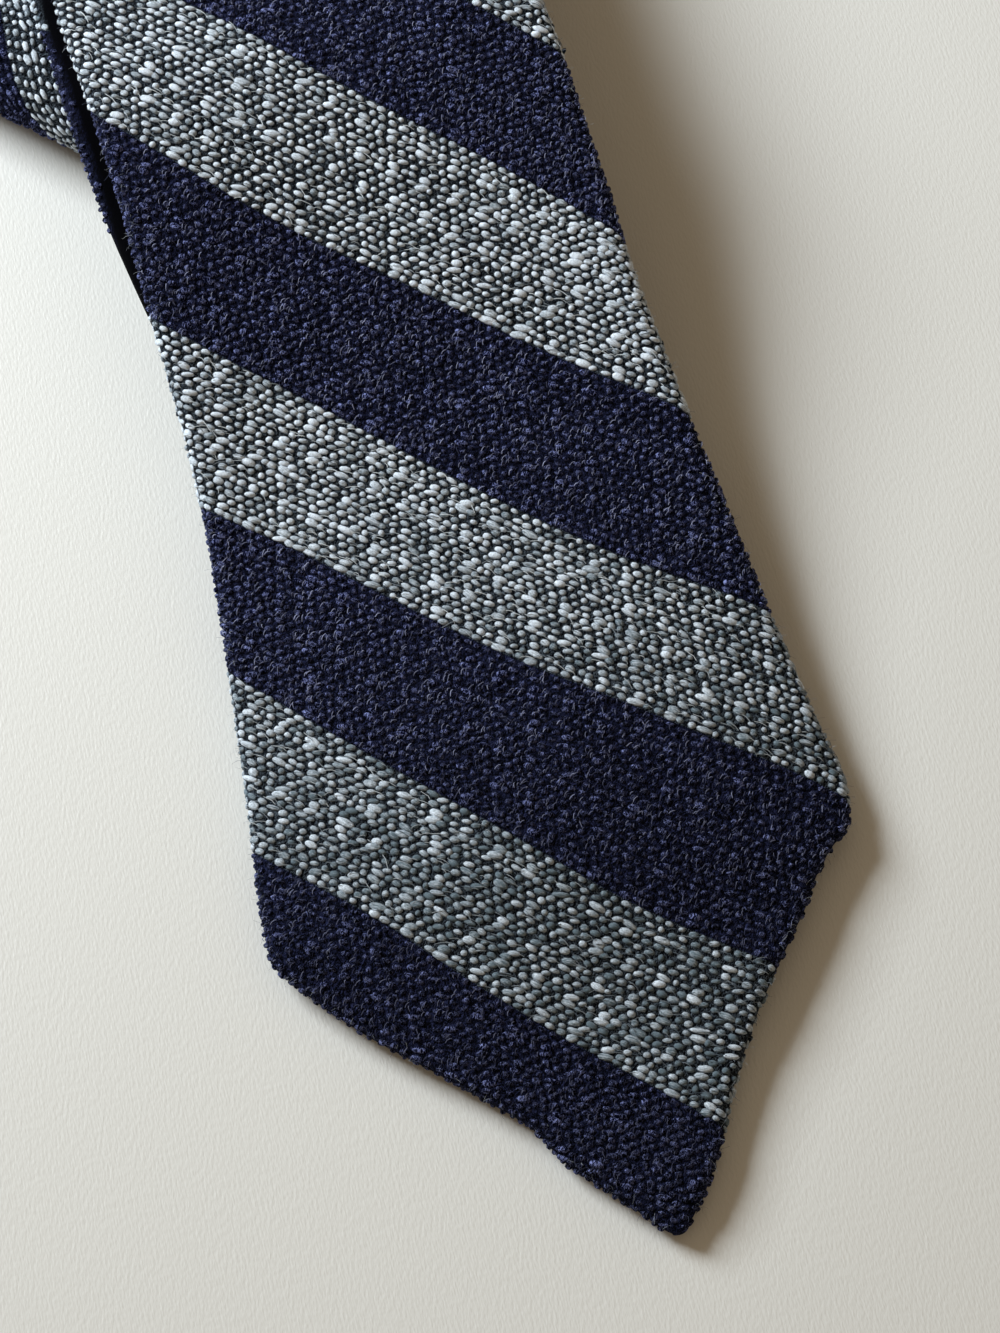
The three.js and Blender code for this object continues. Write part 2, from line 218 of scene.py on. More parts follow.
def halfWidth(s):
    blade = readRows(widthRows, s / tie["length"], 1)
    tail = readRows(widthRows, s / tie["length"], 2)
    neck = tie["neckWidth"]
    body = (neck + (tie["bladeWidth"] - neck) * blade + (tie["tailWidth"] - neck) * tail) / 2
    wide = pointHalf(s, tie["bladePoint"], tie["bladeWidth"] / 2)
    narrow = pointHalf(tie["length"] - s, tie["tailPoint"], tie["tailWidth"] / 2)
    point = np.minimum(wide, narrow)
    soft = tie["pointRadius"] * 0.35
    mix = np.clip(0.5 + 0.5 * (body - point) / soft, 0, 1)
    return np.maximum(body + (point - body) * mix - soft * mix * (1 - mix), tie["pointRadius"] * 0.37)


def thickness(s):
    u = np.clip(np.minimum(s, tie["length"] - s) / (2 * tie["thick"]), 0, 1)
    return tie["thick"] * (0.6 + 0.4 * np.sin(u * np.pi / 2))


def midCloth(s, t):
    x, y, z, sideX, sideY, onBlade = (np.interp(s, pathAlong, pathPoints[:, k]) for k in range(6))
    lean = np.where(onBlade > 0.5, bladeLean(y, t / halfWidth(s)), 0)
    return np.stack([x + sideX * t, y + sideY * t, z + lean], -1)


def clothPoint(s, t, out):
    onward = midCloth(s + 0.8, t) - midCloth(s - 0.8, t)
    sideways = midCloth(s, t + 0.5) - midCloth(s, t - 0.5)
    normal = np.cross(sideways, onward)
    normal /= np.linalg.norm(normal, axis=-1, keepdims=True)
    return midCloth(s, t) + normal * np.asarray(out)[..., None]


# Round the folded cloth: a is measured over the front from its middle, on over both folded edges
# and on over the seam side

shell = {"inset": 0.35, "puff": 0.16, "lapShare": 0.2, "edgeSteps": 9, "frontSteps": 26, "backSteps": 8,
         "stationGap": 2.4, "creaseWidth": 2.3}


def sectionSizes(s):  # thickness, edge radius, left and right flat halves, lap and its step
    half = halfWidth(s)
    thick = thickness(s) - 2 * shell["inset"]
    radius = np.minimum(thick / 2, half * 0.8)
    flat = np.maximum(half - shell["inset"] - radius, 0.02)
    left = flat + tie["bladeWidth"] * readRows(leftSwell, s / tie["bladePoint"])
    right = flat + tie["bladeWidth"] * readRows(rightSwell, s / tie["bladePoint"])
    right = np.maximum(right, 0.02 - left)
    lap = np.minimum(flat * shell["lapShare"], tie["thick"] * 0.9)
    step = tie["lapStep"] * np.minimum(half / tie["neckWidth"] * 2, 1)
    return thick, radius, left, right, lap, step


def edgeOf(s, a):  # side (1 right, -1 left), place of that folded edge and how far a lies beyond it
    left, right = sectionSizes(s)[2:4]
    side = np.where(a > (right - left) / 2, 1.0, -1.0)
    edge = np.where(side > 0, right, -left)
    return side, edge, (a - edge) * side


def sectionPoint(s, a):  # place across the cloth and out of its middle
    thick, radius, left, right, lap, step = sectionSizes(s)
    side, edge, over = edgeOf(s, a)
    turn = np.clip(over / radius, 0, np.pi)
    t = np.where(over < 0, a, edge + side * (radius * np.sin(turn) - np.maximum(over - np.pi * radius, 0)))
    rise = np.where(side > 0, step * np.clip(-np.cos(turn), 0, 1), 0)
    return t, thick / 2 * np.cos(turn) + rise


def puff(s, a):  # soft unevenness of the padding
    return shell["puff"] * (np.sin(s / 4.7 + a / 9.1 + 1.3 * np.sin(a / 6.3 + s / 23)) * 0.5
                            + np.sin(s / 11.3 - a / 5.9 + 2.1) * 0.5)


def surfacePoint(s, a):
    t, out = sectionPoint(s, a)
    return clothPoint(s, t, out + puff(s, a) * np.sign(out))


def rowMetres(pointsMm):
    return (pointsMm + np.array(tie["shift"])) / 1000


# The stripes and the rows of yarn lie at 45 degrees to the tie, and drift as the cloth stretches

weave = {"stripe": 31.0, "firstStripe": 25.0, "rowsInStripe": 20, "repeat": 5.25}
rowPitch = weave["stripe"] / math.sqrt(2) / weave["rowsInStripe"]
driftAcross = [-40, -20, 0, 20, 40]
# distance s + t of a stripe's edge on an even cloth, then its drift at each place across
stripeDrift = [
    (0, 0, 0, 0, 0, 0),
    (25, 1.3, 0.5, -3.2, -6.5, -6.5),
    (56, 0.0, -1.7, -2.3, -1.7, -1.5),
    (87, -2.0, -1.3, -0.2, 4.5, 9.5),
    (118, -0.8, -1.2, -2.2, 0.2, 6.2),
    (149, -1.6, -1.6, -0.4, 0, 3.6),
    (180, 0.2, 0.3, 0.4, 1.2, -2.5),
    (211, 0, 0, 0, 0, 0),
]


def drift(across, distance):
    columns = np.stack([readRows(stripeDrift, distance, k + 1) for k in range(5)])
    place = np.clip((across - driftAcross[0]) / 20.0, 0, 4)
    i = np.clip(place.astype(int), 0, 3)
    u = place - i
    pick = lambda k: np.take_along_axis(columns, np.clip(i + k, 0, 4)[None], 0)[0]
    before, start, end, after = pick(-1), pick(0), pick(1), pick(2)
    slopeStart, slopeEnd = (end - before) / 2, (after - start) / 2
    return (start * (2 * u ** 3 - 3 * u ** 2 + 1) + slopeStart * (u ** 3 - 2 * u ** 2 + u)
            + end * (3 * u ** 2 - 2 * u ** 3) + slopeEnd * (u ** 3 - u ** 2))


def toPattern(s, a):  # along a row of yarn, and across the rows from the first stripe's edge
    real = s + a
    even = real.copy()
    for attempt in range(4):
        even = real - drift(a, even)
    return (s - a) / math.sqrt(2), (even - weave["firstStripe"]) / math.sqrt(2)


def fromPattern(p, q):
    even = q * math.sqrt(2) + weave["firstStripe"]
    real = even.copy()
    for attempt in range(6):
        real = even + drift((real - p * math.sqrt(2)) / 2, even)
    return (real + p * math.sqrt(2)) / 2, (real - p * math.sqrt(2)) / 2


# along the tie: rows by which a panel's stripes sit off those of the wide end; each panel is cut on its own
stripeShift = [(680, 0), (683, -2), (955, -2), (958, 3), (1320, 3), (1350, -10), (1450, -10)]


def shiftRows(s):
    return np.interp(s, [row[0] for row in stripeShift], [row[1] for row in stripeShift])


def makeMesh(name, vertices, faces):
    mesh = bpy.data.meshes.new(name)
    mesh.from_pydata(vertices.tolist(), [], faces)
    mesh.validate()
    mesh.polygons.foreach_set("use_smooth", [True] * len(mesh.polygons))
    return mesh


def addObject(name, mesh):
    thing = bpy.data.objects.new(name, mesh)
    bpy.context.scene.collection.objects.link(thing)
    return thing


def writeAttribute(mesh, name, kind, domain, key, values):
    attribute = mesh.attributes.new(name, kind, domain)
    attribute.data.foreach_set(key, np.asarray(values, np.float32).ravel())


# Materials

def fibreLines(tree, mm, across, along, turn, width):  # thin curly fibres lying on the cloth, 0 to 1
    laid = addNode(tree, "ShaderNodeMapping", {0: mm, 2: (0, 0, turn), 3: (across, along, across)})
    noise = addNode(tree, "ShaderNodeTexNoise", {"Vector": laid.outputs[0], "Scale": 1.0, "Detail": 2.0,
                                                 "Roughness": 0.55, "Distortion": 0.7})
    away = addNode(tree, "ShaderNodeMath", {0: noise.outputs[0], 1: 0.5}, operation="SUBTRACT")
    near = addNode(tree, "ShaderNodeMath", {0: away.outputs[0]}, operation="ABSOLUTE")
    line = addNode(tree, "ShaderNodeMapRange", {0: near.outputs[0], 1: width, 2: width * 0.2, 3: 0.0, 4: 1.0},
                   interpolation_type="SMOOTHSTEP")
    return line.outputs[0]


def woolGround():  # the dark warp and the backs of the weft: matt, fibrous, nearly black between the nubs
    material = bpy.data.materials.new("wovenWoolGround")
    material.use_nodes = True
    tree = material.node_tree
    tree.nodes.clear()
    uv = addNode(tree, "ShaderNodeUVMap", uv_map="cloth")
    mm = addNode(tree, "ShaderNodeVectorMath", {0: uv.outputs[0], 1: (1000, 1000, 1000)}, operation="MULTIPLY")
    split = addNode(tree, "ShaderNodeSeparateXYZ", {0: mm.outputs[0]})
    p, q = split.outputs[0], split.outputs[1]
    stripeLength = weave["stripe"] * math.sqrt(2)
    turns = addNode(tree, "ShaderNodeMath", {0: q, 1: stripeLength}, operation="DIVIDE")
    fraction = addNode(tree, "ShaderNodeMath", {0: turns.outputs[0]}, operation="FRACT")
    pale = addNode(tree, "ShaderNodeMath", {0: fraction.outputs[0], 1: 0.5}, operation="LESS_THAN")

    # nubs are painted where no yarn is modelled, on the sides that lie on the desk or on another layer
    row = addNode(tree, "ShaderNodeMath", {0: q, 1: rowPitch}, operation="DIVIDE")
    rowNumber = addNode(tree, "ShaderNodeMath", {0: row.outputs[0]}, operation="FLOOR")
    stagger = addNode(tree, "ShaderNodeMath", {0: rowNumber.outputs[0], 1: 0.47}, operation="MULTIPLY")
    place = addNode(tree, "ShaderNodeMath", {0: p, 1: 1.75}, operation="DIVIDE")
    shifted = addNode(tree, "ShaderNodeMath", {0: place.outputs[0], 1: stagger.outputs[0]}, operation="ADD")
    cell = addNode(tree, "ShaderNodeMath", {0: shifted.outputs[0]}, operation="FLOOR")
    cellId = addNode(tree, "ShaderNodeCombineXYZ", {0: cell.outputs[0], 1: rowNumber.outputs[0]})
    chance = addNode(tree, "ShaderNodeTexWhiteNoise", {0: cellId.outputs[0]}, noise_dimensions="3D")
    alongCell = addNode(tree, "ShaderNodeMath", {0: shifted.outputs[0]}, operation="FRACT")
    acrossCell = addNode(tree, "ShaderNodeMath", {0: row.outputs[0]}, operation="FRACT")
    spot = addNode(tree, "ShaderNodeCombineXYZ", {0: alongCell.outputs[0], 1: acrossCell.outputs[0]})
    offMiddle = addNode(tree, "ShaderNodeVectorMath", {0: spot.outputs[0], 1: (0.5, 0.5, 0)},
                        operation="SUBTRACT")
    stretched = addNode(tree, "ShaderNodeVectorMath", {0: offMiddle.outputs[0], 1: (2.5, 2.5, 0)},
                        operation="MULTIPLY")
    radius = addNode(tree, "ShaderNodeVectorMath", {0: stretched.outputs[0]}, operation="LENGTH")
    dome = addNode(tree, "ShaderNodeMapRange", {0: radius.outputs["Value"], 1: 1.05, 2: 0.4, 3: 0.0, 4: 1.0},
                   interpolation_type="SMOOTHSTEP")
    bare = addNode(tree, "ShaderNodeAttribute", attribute_name="painted", attribute_type="GEOMETRY")
    painted = addNode(tree, "ShaderNodeMath", {0: dome.outputs[0], 1: bare.outputs["Fac"]}, operation="MULTIPLY")

    # warp fibres run across the rows; drawn about four times as thick as a wool fibre so that they show
    fine = fibreLines(tree, mm.outputs[0], 3.6, 1.4, 0.12, 0.036)
    loose = fibreLines(tree, mm.outputs[0], 2.6, 1.1, -0.5, 0.026)
    fibre = addNode(tree, "ShaderNodeMath", {0: fine, 1: loose}, operation="MAXIMUM")
    patches = addNode(tree, "ShaderNodeTexNoise", {"Vector": mm.outputs[0], "Scale": 0.45, "Detail": 2.0})

    dark = addNode(tree, "ShaderNodeMix", {0: patches.outputs[0], 6: colour("#010204"), 7: colour("#05060f")},
                   data_type="RGBA")
    fibreTone = addNode(tree, "ShaderNodeMix", {0: pale.outputs[0], 6: colour("#343a60"), 7: colour("#66727f")},
                        data_type="RGBA")
    ground = addNode(tree, "ShaderNodeMix", {0: fibre.outputs[0], 6: dark.outputs[2], 7: fibreTone.outputs[2]},
                     data_type="RGBA")
    paleTone = addNode(tree, "ShaderNodeMix", {0: chance.outputs[0], 6: colour("#6f7a86"), 7: colour("#c6d0d5")},
                       data_type="RGBA")
    nubTone = addNode(tree, "ShaderNodeMix", {0: pale.outputs[0], 6: colour("#1b1f3a"), 7: paleTone.outputs[2]},
                      data_type="RGBA")
    mixed = addNode(tree, "ShaderNodeMix", {0: painted.outputs[0], 6: ground.outputs[2], 7: nubTone.outputs[2]},
                    data_type="RGBA")
    # painted shade: the ground turns near-black in the crease beside and under the wide end's left edge
    crease = addNode(tree, "ShaderNodeAttribute", attribute_name="paintedCreaseShade", attribute_type="GEOMETRY")
    creaseShadeMix = addNode(tree, "ShaderNodeMix", {0: crease.outputs["Fac"], 6: mixed.outputs[2], 7: colour("#020205")},
                   data_type="RGBA")
    lift = addNode(tree, "ShaderNodeMath", {0: fibre.outputs[0], 1: 0.3, 2: painted.outputs[0]},
                   operation="MULTIPLY_ADD")
    bump = addNode(tree, "ShaderNodeBump", {"Strength": 0.8, "Distance": 0.0004, "Height": lift.outputs[0]})
    shader = addNode(tree, "ShaderNodeBsdfPrincipled", {"Base Color": creaseShadeMix.outputs[2], "Roughness": 0.95,
                                                        "Sheen Weight": 0.0, "Sheen Roughness": 0.5,
                                                        "Specular IOR Level": 0.04, "Normal": bump.outputs[0]})
    addNode(tree, "ShaderNodeOutputMaterial", {0: shader.outputs[0]})
    return material


def woolYarn(name, tones):  # woollen-spun yarn: matt, streaked along its fibres, with painted shade low on each float where it dives into the cloth
    material = bpy.data.materials.new(name)
    material.use_nodes = True
    tree = material.node_tree
    tree.nodes.clear()
    strand = addNode(tree, "ShaderNodeAttribute", attribute_name="strand", attribute_type="GEOMETRY")
    tone = addNode(tree, "ShaderNodeAttribute", attribute_name="tone", attribute_type="GEOMETRY")
    cloth = addNode(tree, "ShaderNodeAttribute", attribute_name="cloth", attribute_type="GEOMETRY")
    laid = addNode(tree, "ShaderNodeMapping", {0: strand.outputs["Vector"], 2: (0, 0, tones["twist"]),
                                               3: (1.0, 3.4, 2.4)})
    other = addNode(tree, "ShaderNodeVectorMath", {0: tone.outputs["Vector"], 1: (90, 90, 90)}, operation="MULTIPLY")
    moved = addNode(tree, "ShaderNodeVectorMath", {0: laid.outputs[0], 1: other.outputs[0]}, operation="ADD")
    streaks = addNode(tree, "ShaderNodeTexNoise", {"Vector": moved.outputs[0], "Scale": 1.1, "Detail": 3.0,
                                                   "Roughness": 0.7})
    shade = addNode(tree, "ShaderNodeMapRange", {0: streaks.outputs[0], 1: 0.36, 2: 0.64, 3: -0.05, 4: 0.65})
    level = addNode(tree, "ShaderNodeMath", {0: tone.outputs["Fac"], 1: 0.8, 2: shade.outputs[0]},
                    operation="MULTIPLY_ADD")
    body = addNode(tree, "ShaderNodeMix", {0: level.outputs[0], 6: colour(tones["low"]), 7: colour(tones["high"])},
                   data_type="RGBA")
    # painted shade: the lower part of each float is mixed towards the dark root colour
    split = addNode(tree, "ShaderNodeSeparateXYZ", {0: strand.outputs["Vector"]})
    waver = addNode(tree, "ShaderNodeMath", {0: streaks.outputs[0], 1: 0.7, 2: split.outputs[2]},
                    operation="MULTIPLY_ADD")
    top = addNode(tree, "ShaderNodeMapRange", {0: waver.outputs[0], 1: 0.22, 2: 0.82, 3: 0.0, 4: 1.0},
                  interpolation_type="SMOOTHSTEP")
    paintedRootShade = addNode(tree, "ShaderNodeMix", {0: top.outputs[0], 6: colour(tones["root"]), 7: body.outputs[2]},
                      data_type="RGBA")
    fine = fibreLines(tree, cloth.outputs["Vector"], 3.6, 1.4, 0.12, 0.036)
    loose = fibreLines(tree, cloth.outputs["Vector"], 2.6, 1.1, -0.5, 0.026)
    fibre = addNode(tree, "ShaderNodeMath", {0: fine, 1: loose}, operation="MAXIMUM")
    loft = addNode(tree, "ShaderNodeMapRange", {0: level.outputs[0], 1: 0.0, 2: 0.8, 3: tones["fibreShare"] * 0.45,
                                                4: tones["fibreShare"]})
    thin = addNode(tree, "ShaderNodeMath", {0: fibre.outputs[0], 1: loft.outputs[0]}, operation="MULTIPLY")
    mixed = addNode(tree, "ShaderNodeMix", {0: thin.outputs[0], 6: paintedRootShade.outputs[2], 7: colour(tones["fibre"])},
                    data_type="RGBA")
    height = addNode(tree, "ShaderNodeMath", {0: fibre.outputs[0], 1: tones["fibreRise"], 2: streaks.outputs[0]},
                     operation="MULTIPLY_ADD")
    bump = addNode(tree, "ShaderNodeBump", {"Strength": 0.8, "Distance": 0.00015, "Height": height.outputs[0]})
    shader = addNode(tree, "ShaderNodeBsdfPrincipled", {"Base Color": mixed.outputs[2], "Roughness": 0.9,
                                                        "Sheen Weight": tones["sheen"], "Sheen Roughness": 0.45,
                                                        "Specular IOR Level": 0.05, "Normal": bump.outputs[0]})
    addNode(tree, "ShaderNodeOutputMaterial", {0: shader.outputs[0]})
    return material


groundWool = woolGround()
paleWool = woolYarn("paleMixtureWoolYarn", {"low": "#65757f", "high": "#e8f3ff", "root": "#263040", "twist": 0.45,
                                            "fibre": "#1b2030", "fibreShare": 0.25, "fibreRise": 0.3, "sheen": 0.05})
navyWool = woolYarn("navyWoolYarn", {"low": "#020309", "high": "#070b28", "root": "#010103", "twist": 0.45,
                                     "fibre": "#97a2e0", "fibreShare": 0.9, "fibreRise": 0.8, "sheen": 0.0})
print("materials made")


# Cloth panels

def arcLimits(s):
    radius, left, right, lap = sectionSizes(s)[1:5]
    seam = (right - left) / 2 + lap
    return -left - np.pi * radius - (left + seam), right + np.pi * radius + (right - seam)


def ringArcs(s):  # places round one section, from the seam over the front and back to the seam
    radius, left, right = sectionSizes(s)[1:4]
    leftEnd, rightEnd = arcLimits(s)
    edge, front, back = shell["edgeSteps"], shell["frontSteps"], shell["backSteps"]
    share = lambda count: np.arange(count) / count
    parts = [leftEnd + (-(left + np.pi * radius) - leftEnd) * share(back),
             -(left + np.pi * radius) + np.pi * radius * share(edge),
             -left + (right + left) * share(front),
             right + np.pi * radius * share(edge),
             right + np.pi * radius + (rightEnd - right - np.pi * radius) * np.arange(back + 1) / back]
    return np.concatenate(parts)


def makePanel(name, start, end, biasStart, biasEnd, bareZone):
    fade = tie["neckWidth"] * 1.6
    stations = [start]
    while end - stations[-1] > 0.4:
        at = stations[-1]
        fromPoint = min(at, tie["length"] - at)
        fromCorner = min(abs(at - tie["bladePoint"]), abs(tie["length"] - at - tie["tailPoint"]))
        gap = shell["stationGap"]
        if fromPoint < 1:
            gap = 0.3
        elif fromPoint < 4 or fromCorner < 4:
            gap = 0.8
        stations.append(min(at + gap, end))
    rows, patterns, bare, paintedCreaseShade = [], [], [], []
    for s in stations:
        a = ringArcs(np.array(float(s)))
        t, out = sectionPoint(np.full(len(a), float(s)), a)
        nearStart = biasStart * max(1 - (s - start) / fade, 0)
        nearEnd = biasEnd * max(1 - (end - s) / fade, 0)
        real = s + t * (nearStart + nearEnd)
        lifted = out + puff(real, a) * np.sign(out)
        place = clothPoint(real, t, lifted)
        rows.append(place)
        # painted shade for the crease under the wide end's left edge
        paintedCreaseShade.append(np.clip(creaseDepth(real, place) + 0.4, 0, 1))
        alongRows, acrossRows = toPattern(real, a)
        patterns.append(np.stack([alongRows, acrossRows + shiftRows(real) * rowPitch], -1))
        bare.append(bareZone(real, a))
    ring = rows[0].shape[0]
    vertices = rowMetres(np.concatenate(rows))
    count = len(stations)
    faces = []
    for i in range(count - 1):
        base = i * ring
        for j in range(ring):
            k = (j + 1) % ring
            faces.append((base + j, base + k, base + ring + k, base + ring + j))
    faces.append(tuple(range(ring - 1, -1, -1)))
    faces.append(tuple((count - 1) * ring + j for j in range(ring)))
    mesh = makeMesh(name, vertices, faces)
    pattern = np.concatenate(patterns) / 1000
    loops = np.empty(len(mesh.loops), np.int32)
    mesh.loops.foreach_get("vertex_index", loops)
    layer = mesh.uv_layers.new(name="cloth")
    layer.data.foreach_set("uv", pattern[loops].astype(np.float32).ravel())
    writeAttribute(mesh, "painted", "FLOAT", "POINT", "value", np.concatenate(bare))
    writeAttribute(mesh, "paintedCreaseShade", "FLOAT", "POINT", "value", np.concatenate(paintedCreaseShade))
    mesh.materials.append(groundWool)
    piece = addObject(name, mesh)
    return piece


# along the tie: where the layers below the wide end look out at its left edge, and how far its back shows
lookOut = {"noseFrom": 735, "noseTo": 880, "stripFrom": 1290, "stripTo": 1400, "behind": 62, "frontTo": 218}


def yarnReach(s, a):  # 1 where yarn is modelled on the cloth
    radius = sectionSizes(s)[1]
    over = edgeOf(s, a)[2]
    onBlade = (s < backReach + lookOut["behind"]) & (over < np.pi * radius + 1.5)
    onEdges = (over > -2.5) & (over < np.pi * radius + 1.5)
    onNose = (s > lookOut["noseFrom"]) & (s < lookOut["noseTo"]) & (over < np.pi * radius + 1.5)
    return onBlade | onEdges | onNose


def bareZone(s, a):
    # the strip under the wide end's left edge gets no painted nubs, so its near-black ground shows there as painted
    # shade
    onStrip = (s > lookOut["stripFrom"]) & (s < lookOut["stripTo"])
    return np.where(yarnReach(s, a) | onStrip, 0.0, 1.0)


def creaseDepth(s, place):  # above 0 beside and under the left edge of the wide end, where the cloth gets painted shade, in millimetres
    radius, left = sectionSizes(place[:, 1])[1:3]
    depth = place[:, 0] - (bladePlace(place[:, 1]) - left - radius) + shell["creaseWidth"]
    return np.where(s > lookOut["noseFrom"], depth, -9.0)


seamAt = tie["length"] * tie["bladeSeam"]
tailAt = tie["length"] * tie["tailSeam"]
space = tie["seamSpace"] / 2
panels = [
    makePanel("front_blade_cloth", 0, seamAt - space, 0, 1, bareZone),
    makePanel("neck_band_cloth", seamAt + space, tailAt - space, 1, 1, bareZone),
    makePanel("tail_blade_cloth", tailAt + space, tie["length"], 1, 0, bareZone),
]
print("cloth panels made:", [len(p.data.polygons) for p in panels])


# Yarn: each nub is one float of the weft

yarn = {"seed": 4, "length": 1.48, "breadth": 0.98, "rise": 0.42, "longFloat": 1.5, "tilt": 0.15, "rough": 0.14,
        "tipShade": 0.62, "stripShade": 0.5, "paleFullness": 1.0, "navyFullness": 0.86,
        "segments": 7, "rings": 4, "rearSegments": 6, "rearRings": 3}


def yarnPlaces():
    rng = np.random.default_rng(yarn["seed"])
    rowTotal = int((tie["length"] + 120) / math.sqrt(2) / rowPitch) + 60
    firstRow = -int(120 / rowPitch)
    columnsP, columnsQ, stretch, rowsOut = [], [], [], []
    for row in range(firstRow, rowTotal):
        q = (row + 0.5) * rowPitch
        group, inGroup = row // 4, row % 4
        shift = (group % 2) * weave["repeat"] / 2
        pMiddle = q + weave["firstStripe"] / math.sqrt(2)
        start = math.floor((pMiddle - 95) / weave["repeat"])
        cells = np.arange(start, start + int(190 / weave["repeat"])) * weave["repeat"] + shift
        if inGroup < 2:  # two rows with a long float in each repeat
            nudge = 0.12 * (1 if inGroup else -1)
            for offset, size in ((0, yarn["longFloat"]), (2.0 + nudge, 1.0), (3.55 - nudge, 0.95)):
                columnsP.append(cells + offset)
                stretch.append(np.full(len(cells), size))
                columnsQ.append(np.full(len(cells), q))
                rowsOut.append(np.full(len(cells), row))
        else:
            lead = 0.9 if inGroup == 2 else 0.1
            for offset in (0, 1.75, 3.5):
                columnsP.append(cells + offset + lead)
                stretch.append(np.full(len(cells), 1.0))
                columnsQ.append(np.full(len(cells), q))
                rowsOut.append(np.full(len(cells), row))
    p, q = np.concatenate(columnsP), np.concatenate(columnsQ)
    stretch, row = np.concatenate(stretch), np.concatenate(rowsOut)
    p = p + rng.normal(0, 0.1, len(p))
    q = q + rng.normal(0, 0.05, len(p))
    broad = np.where(stretch > 1.3, 1.22, 1.0)
    stretch = stretch * np.clip(rng.normal(1, 0.14, len(p)), 0.65, 1.4)
    s, a = fromPattern(p, q)
    leftEnd, rightEnd = arcLimits(np.clip(s, 0, tie["length"]))
    keep = (s > 0.2) & (s < tie["length"] - 0.2) & (a > leftEnd) & (a < rightEnd)
    return s[keep], a[keep], stretch[keep], broad[keep], row[keep], p[keep], q[keep]


